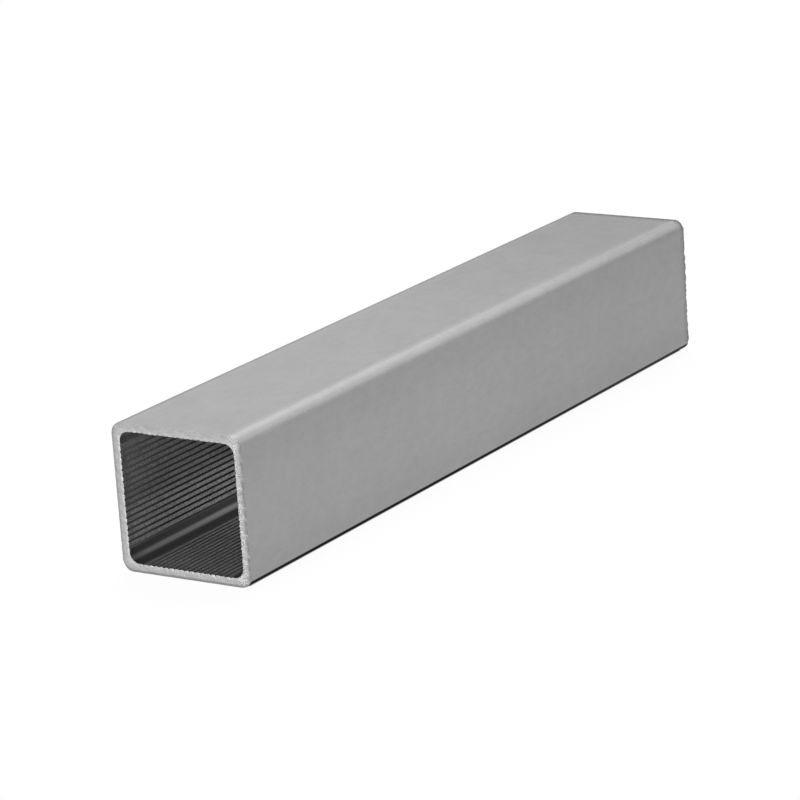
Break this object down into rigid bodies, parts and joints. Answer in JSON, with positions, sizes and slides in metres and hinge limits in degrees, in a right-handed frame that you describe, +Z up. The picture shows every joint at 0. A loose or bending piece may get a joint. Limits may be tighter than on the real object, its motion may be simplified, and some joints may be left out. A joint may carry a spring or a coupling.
{
  "type": "square metal tube",
  "caption": "Straight length of extruded aluminium square tube with rounded long edges, sawn ends and fine lengthwise grooves on the walls of its open bore.",
  "frame": {"origin": "middle of the lower outer face, on the surface that the tube lies on", "axes": "+Z up; Y along the tube's length, with the open end that the picture shows at -Y; X across the tube"},
  "size_m": [0.025, 0.146, 0.025],
  "materials": {
    "tube": "satin, with bare sawn ends"
  },
  "bodies": {
    "root": {"square_tube": "tube"}
  },
  "joints": []
}
